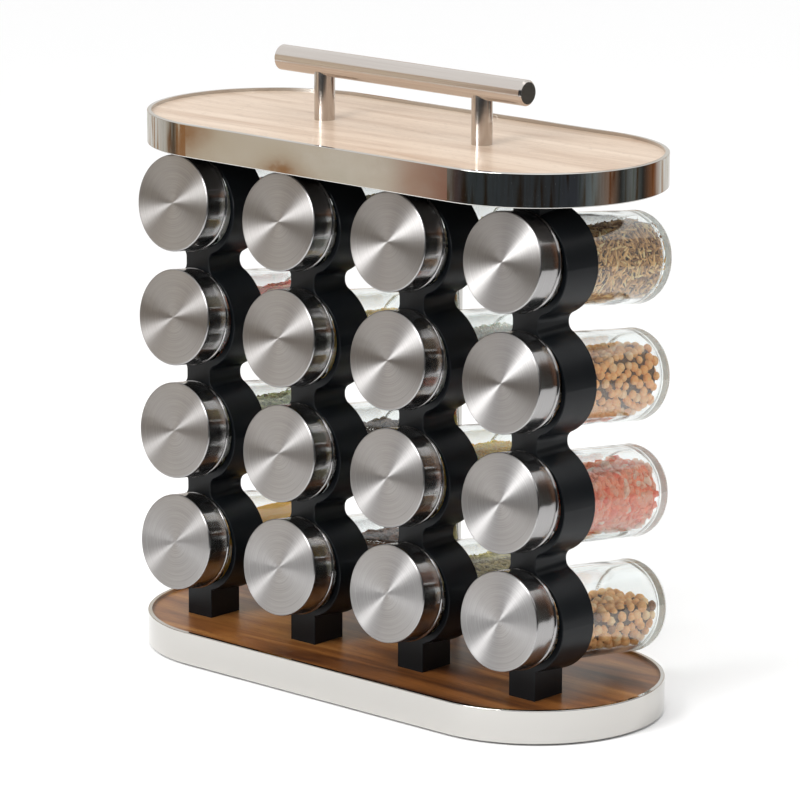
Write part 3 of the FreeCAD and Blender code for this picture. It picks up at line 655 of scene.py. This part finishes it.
def settleGrains(spice, level, seed):
    # spots where grains rest: against the glass, on the floor and over the top, two deep
    draw = np.random.default_rng(seed)
    inner = jarSizes["radius"] - jarSizes["wall"]
    floorTop = jarSizes["floor"] - jarSizes["length"]
    thickness, gap = spice["size"][2], spice["gap"]
    throws = int(52000 / gap ** 2)  # enough to leave no spot free
    taken, spots, normals = {}, [], []
    for layer in range(2):
        depth = 0.3 + thickness * (0.5 if spice["tumble"] < 1 else 0.55) + layer * gap * 0.75
        angle = draw.uniform(0, 2 * math.pi, throws)
        along = draw.uniform(floorTop + depth, jarSizes["heapFront"], throws)
        radius = inner - depth
        wall = np.stack([radius * np.cos(angle), radius * np.sin(angle), along], 1)
        wallNormal = np.stack([-np.cos(angle), -np.sin(angle), 0 * angle], 1)
        few = throws // 5
        reach = radius * np.sqrt(draw.uniform(0, 1, few))
        spin = draw.uniform(0, 2 * math.pi, few)
        low = np.full(few, floorTop + depth + 0.6)
        floor = np.stack([reach * np.cos(spin), reach * np.sin(spin), low], 1)
        floorNormal = np.tile([0, 0, 1.0], (few, 1))
        many = throws // 2
        sideways = draw.uniform(-radius, radius, many)
        back = draw.uniform(floorTop + depth, jarSizes["heapFront"], many)
        top = np.stack([sideways, np.zeros(many), back], 1)
        top[:, 1] = (heapHeight(top, level, spice["bumps"], seed) - depth) / math.cos(tilt)
        topNormal = np.tile([0, math.cos(tilt), math.sin(tilt)], (many, 1))
        points = np.concatenate([wall, floor, top])
        facing = np.concatenate([wallNormal, floorNormal, topNormal])
        below = heapHeight(points, level, spice["bumps"], seed) >= depth - 0.01
        inside = np.hypot(points[:, 0], points[:, 1]) <= radius + 0.001
        keep = np.flatnonzero(below & inside)
        draw.shuffle(keep)
        for index in keep:
            point = points[index]
            cell = tuple(np.floor(point / gap).astype(int))
            near = [
                other
                for i in (-1, 0, 1)
                for j in (-1, 0, 1)
                for k in (-1, 0, 1)
                for other in taken.get((cell[0] + i, cell[1] + j, cell[2] + k), ())
            ]
            if any(sum((a - b) ** 2 for a, b in zip(point, other)) < gap * gap for other in near):
                continue
            taken.setdefault(cell, []).append(point)
            spots.append(point)
            normals.append(facing[index])
    return np.array(spots), np.array(normals)


def unit(vectors):
    return vectors / np.linalg.norm(vectors, axis=1, keepdims=True)


def makeSpice(name, spice, level, seed, material, powderAndShadeMaterial):
    inner = jarSizes["radius"] - jarSizes["wall"]
    floorTop = jarSizes["floor"] - jarSizes["length"]
    loose = spice["shape"] is not None
    # the middle of the heap lies under the grains; under loose grains it is painted dark, as painted shade
    # between them
    sink = 0.25 + (0.75 * spice["gap"] if loose else 0)
    radius = inner - sink
    end = floorTop + sink
    sides = 64 if loose else 144
    profile = [(pole, end)] + [(radius * share, end) for share in (0.4, 0.75)]
    profile += [(radius - 1.6, end), (radius - 0.5, end + 0.5), (radius, end + 1.6)]
    front = jarSizes["heapFront"]
    profile += [(radius, z) for z in steps(end + 3, front, 24 if loose else 60)]
    profile += [(radius * share, front + 0.2) for share in (0.8, 0.5, 0.2)]
    profile += [(pole, front + 0.2)]
    heap = turnPiece(name, profile, sides)
    points = np.array([v.co for v in heap.data.vertices]) / mm
    below = heapHeight(points, level - sink, spice["bumps"], seed)
    for vertex, over in zip(heap.data.vertices, below):
        if over < 0:
            vertex.co.y += over / math.cos(tilt) * mm
            crumb = noise.noise(vertex.co * 900) + 0.5 * noise.noise(vertex.co * 2100)
            vertex.co.y += 0.00022 * crumb
    heap.data.materials.append(powderAndShadeMaterial)
    smooth(heap, 50)
    heap.data.attributes.new("tint", "FLOAT", "POINT")
    if not loose:
        return heap
    shape, faces = grainShape(spice["shape"])
    spots, normals = settleGrains(spice, level, seed)
    draw = np.random.default_rng(seed + 500)
    count = len(spots)
    normals = unit(normals + spice["tumble"] * draw.normal(0, 0.6, (count, 3)))
    across = draw.normal(0, 1, (count, 3))
    across = unit(across - normals * np.sum(across * normals, axis=1, keepdims=True))
    third = np.cross(normals, across)
    smallest = 0.55 if spice["shape"] == "crystal" else 0.82
    scale = draw.uniform(smallest, 1.12, (count, 1, 1)) * mm
    length, width, thickness = spice["size"]
    corners = (
        shape[None, :, 0:1] * length * across[:, None]
        + shape[None, :, 1:2] * width * third[:, None]
        + shape[None, :, 2:3] * thickness * normals[:, None]
    ) * scale + spots[:, None] * mm
    corners = corners.reshape(-1, 3)
    away = np.hypot(corners[:, 0], corners[:, 1])
    limit = (inner - 0.12) * mm  # nothing reaches into the glass
    squeeze = np.minimum(1, limit / np.maximum(away, 1e-9))
    corners[:, 0] *= squeeze
    corners[:, 1] *= squeeze
    corners[:, 2] = np.maximum(corners[:, 2], (floorTop + 0.75) * mm)
    mesh = bpy.data.meshes.new(name + "_grains")
    allFaces = [
        tuple(corner + grain * len(shape) for corner in face) for grain in range(count) for face in faces
    ]
    mesh.from_pydata(corners.tolist(), [], allFaces)
    tint = mesh.attributes.new("tint", "FLOAT", "POINT")
    tint.data.foreach_set("value", np.repeat(draw.uniform(0, 1, count), len(shape)).astype(np.float32))
    mesh.materials.append(material)
    grains = bpy.data.objects.new(name + "_grains", mesh)
    bpy.context.scene.collection.objects.link(grains)
    smooth(grains, 20 if spice["shape"] == "crystal" else 70)
    pickOnly(heap)
    grains.select_set(True)
    bpy.ops.object.join()
    return heap


# Dried seeds and flakes: matt to waxy skins, each grain its own tone. Under loose grains the heap is painted
# dark, as painted shade where grains shade each other. Salt crystals let some light through.
def spiceMaterial(name, spice):
    # grains in a heap shade each other, so each skin is painted lighter than the heap looks: painted light
    # making up for that shade
    colours = []
    for code in spice["colours"]:
        red, green, blue, opaque = linear(code)
        paintedLightLift = min(2.0, 0.96 / red)
        colours.append([red * paintedLightLift, green * paintedLightLift * 0.97, blue * paintedLightLift * 0.88, opaque])
    material, tree = newMaterial(name + "Grains")
    tint = addNode(tree, "Attribute", {"attribute_name": "tint"})
    colour = setRamp(
        addNode(tree, "ValToRGB", {}, {"Fac": tint.outputs["Fac"]}),
        list(zip((0.03, 0.05, 0.4, 0.8, 0.98), colours)),
    )
    mottle = addNode(
        tree, "TexNoise", {"Scale": 1, "Detail": 3}, {"Vector": patternAt(tree, (0.9, 0.9, 0.9))}
    )
    mottled = addNode(
        tree,
        "Mix",
        {"data_type": "RGBA", "blend_type": "SOFT_LIGHT", 0: 0.85},
        {6: colour.outputs["Color"], 7: mottle.outputs["Fac"]},
    )
    crystal = spice["shape"] == "crystal"
    shader = addNode(
        tree,
        "BsdfPrincipled",
        {
            "Roughness": 0.28 if crystal else 0.6,
            "Subsurface Weight": 0.5 if crystal else 0.0,
            "Subsurface Radius": (0.002, 0.0012, 0.001),
            "Subsurface Scale": 1.0,
        },
        {"Base Color": mottled.outputs[2]},
    )
    finishMaterial(tree, shader)
    powderAndShade, tree = newMaterial(name + "Heap")
    fine = addNode(
        tree, "TexNoise", {"Scale": 1, "Detail": 5}, {"Vector": patternAt(tree, (1.5, 1.5, 1.5))}
    )
    # painted shade: under loose grains the heap is darkened to stand for the shade between them; under
    # crystals and powder it keeps their colour
    shade = {"crystal": 1, None: 1}.get(spice["shape"], 0.14)
    colour = setRamp(
        addNode(tree, "ValToRGB", {}, {"Fac": fine.outputs["Fac"]}),
        [
            (0.3, [c * shade for c in colours[0][:3]] + [1]),
            (0.5, [c * shade for c in colours[2][:3]] + [1]),
            (0.7, [c * shade for c in colours[3][:3]] + [1]),
        ],
    )
    shader = addNode(
        tree, "BsdfPrincipled", {"Roughness": 0.85}, {"Base Color": colour.outputs["Color"]}
    )
    finishMaterial(tree, shader)
    return material, powderAndShade


glass = jarGlass()
spun = spunSteel()
corePlastic = mouldedPlastic("blackPolypropylene", "#202123", 0.5)
jarMaster = makeJar()
jarMaster.data.materials.append(glass)
stipple = jarMaster.data.attributes.new("stipple", "FLOAT", "POINT")
heelTop = (jarSizes["stippled"] - jarSizes["length"]) * mm
for vertex in jarMaster.data.vertices:
    stipple.data[vertex.index].value = int(vertex.co.z < heelTop)
shellMaster = makeLidShell()
shellMaster.data.materials.append(spun)
coreMaster = makeLidCore()
coreMaster.data.materials.append(corePlastic)
print("Jar and lid masters turned")


def placeCopy(master, name, place, body, *replaced):
    piece = bpy.data.objects.new(name, master.data.copy())
    piece.data.name = name
    bpy.context.scene.collection.objects.link(piece)
    piece.data.transform(place)
    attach(piece, body)
    if replaced:
        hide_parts(*replaced)
    return piece


spiceMaterials = {name: spiceMaterial(name, spice) for name, spice in spices.items()}
for row in range(1, rows + 1):
    for column in range(1, columns + 1):
        spot = "row%d_column%d" % (row, column)
        jarPlace = frontOf("jar_" + spot)
        lidPlace = frontOf("lid_" + spot)
        # each jar lies turned its own way
        turned = Matrix.Rotation(math.radians(37 * row + 83 * column), 4, "Z")
        jarNode, lidNode = "jar_" + spot, "lid_" + spot
        placeCopy(jarMaster, "glass_" + spot, jarPlace @ turned, jarNode, jarNode)
        placeCopy(shellMaster, "shell_" + spot, lidPlace, lidNode, lidNode)
        placeCopy(coreMaster, "core_" + spot, lidPlace, lidNode)
        kind, level = fills[row, column]
        heap = makeSpice("spice_" + spot, spices[kind], level, row * 10 + column, *spiceMaterials[kind])
        heap.data.transform(jarPlace)
        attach(heap, jarNode)
for master in (jarMaster, shellMaster, coreMaster):
    bpy.data.objects.remove(master)
print("Jars, lids and spices in place")

# A turned steel rod stands behind the jars between the middle columns and ties the plates.
tieRod = {
    "radius": 4.9,
    "behind": 36.0,
    "bottom": 15.1,  # on the base wood
    "top": 247.3,  # under the top plate's board
    "chamfer": 0.5,
}


def makeTieRod():
    s = tieRod
    shoulder = s["radius"] - s["chamfer"]
    profile = [(pole, s["bottom"]), (shoulder, s["bottom"]), (s["radius"], s["bottom"] + s["chamfer"])]
    profile += [(s["radius"], s["top"] - s["chamfer"]), (shoulder, s["top"]), (pole, s["top"])]
    rod = turnPiece("tieRod", profile, 64)
    rod.data.transform(Matrix.Translation((0, s["behind"] * mm, 0)))
    rod.data.materials.append(mirror)
    smooth(rod, 30)
    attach(rod, "rack")


makeTieRod()
print("Tie rod in place")

studio = {
    "floorSize": 14.0,
    "skyStrength": 1.0,
    "topPower": 4.5,
    "stripPower": 6.5,
    "cardRadius": 0.95,
    "cardHeight": 0.62,
}


def addSoftbox(name, place, target, along, length, width, power):
    # a rectangular softbox that faces its target, its long side as near "along" as it can lie
    away = (Vector(place) - Vector(target)).normalized()
    longSide = (Vector(along) - away * away.dot(Vector(along))).normalized()
    bpy.ops.object.light_add(type="AREA", location=place)
    light = bpy.context.object
    light.name = name
    light.data.shape = "RECTANGLE"
    light.data.size = length
    light.data.size_y = width
    light.data.energy = power
    light.rotation_euler = Matrix((longSide, away.cross(longSide), away)).transposed().to_euler()
    light.visible_camera = False


# A round card about the object that glows though it is no lamp and that only its gloss sees: painted
# reflections of warm cloth at the front left, dark panels with narrow lit gaps round the right, white behind.
# It gives the steel its contrast.
def addStudioCard():
    bpy.ops.mesh.primitive_cylinder_add(
        vertices=96,
        radius=studio["cardRadius"],
        depth=studio["cardHeight"],
        end_fill_type="NOTHING",
        location=(0, 0, studio["cardHeight"] / 2 + 0.002),
    )
    card = bpy.context.object
    card.name = "studioCard"
    material, tree = newMaterial("glowingReflectionCard")
    coordinates = addNode(tree, "TexCoord")
    around = addNode(
        tree, "TexGradient", {"gradient_type": "RADIAL"}, {"Vector": coordinates.outputs["Object"]}
    )
    panels = setRamp(
        addNode(tree, "ValToRGB", {}, {"Fac": around.outputs["Fac"]}),
        [
            (0.0, linear("#F2F1EF")), (0.055, linear("#D9D4CD")), (0.085, linear("#6A6258")),
            (0.1, linear("#E9DDCC")), (0.146, linear("#EFE6D8")), (0.15, linear("#A5623F")),
            (0.158, linear("#9A9D9C")), (0.178, linear("#574848")), (0.21, linear("#3F464A")),
            (0.46, linear("#3C4047")), (0.5, linear("#7C868B")), (0.54, linear("#957A6A")),
            (0.565, linear("#353838")), (0.6, linear("#7A8082")), (0.635, linear("#3A3C3C")),
            (0.68, linear("#96684A")), (0.72, linear("#F4F4F4")),
        ],
    )
    # glowing warm and pale blotches on the card, seen only in the steel: painted reflections
    glowBlotchNoise = addNode(
        tree,
        "TexNoise",
        {"Scale": 1, "Detail": 3, "Distortion": 0.8},
        {"Vector": patternAt(tree, (85, 85, 60))},
    )
    glowBlotches = setRamp(
        addNode(tree, "ValToRGB", {}, {"Fac": glowBlotchNoise.outputs["Fac"]}),
        [
            (0.36, linear("#B98D66")), (0.47, linear("#F1ECE2")),
            (0.6, linear("#FFFFFF")), (0.7, linear("#D2D4C2")),
        ],
    )
    lit = addNode(
        tree,
        "Mix",
        {"data_type": "RGBA", "blend_type": "MULTIPLY", 0: 1},
        {6: panels.outputs["Color"], 7: glowBlotches.outputs["Color"]},
    )
    glow = addNode(tree, "Emission", {"Strength": 1.0}, {"Color": lit.outputs[2]})
    finishMaterial(tree, glow)
    card.data.materials.append(material)
    card.visible_camera = False
    card.visible_diffuse = False
    card.visible_transmission = False
    card.visible_shadow = False


def makeStudio():
    bpy.ops.object.select_all(action="DESELECT")
    bpy.ops.mesh.primitive_plane_add(size=studio["floorSize"])
    floor = bpy.context.object
    floor.name = "floor"
    material, tree = newMaterial("matWhitePaper")
    shader = addNode(tree, "BsdfPrincipled", {"Base Color": linear("#FAFAFA"), "Roughness": 0.8})
    finishMaterial(tree, shader)
    floor.data.materials.append(material)
    world = bpy.data.worlds.new("studioRoom")
    bpy.context.scene.world = world
    world.use_nodes = True
    tree = world.node_tree
    tree.nodes.clear()
    background = addNode(
        tree, "Background", {"Color": linear("#FFFFFF"), "Strength": studio["skyStrength"]}
    )
    addNode(tree, "OutputWorld", {}, {"Surface": background.outputs[0]})
    addStudioCard()
    addSoftbox(
        "strip", (-0.04, -0.78, 0.56), (0, -0.05, 0.14), (0.6, 0.4, 0.56), 0.62, 0.16, studio["stripPower"]
    )
    addSoftbox("top", (0.2, -0.1, 1.6), (0, 0, 0.1), (1, 0, 0), 1.4, 1.4, studio["topPower"])


makeStudio()
bpy.context.scene.view_settings.view_transform = "Standard"
print("Studio ready")
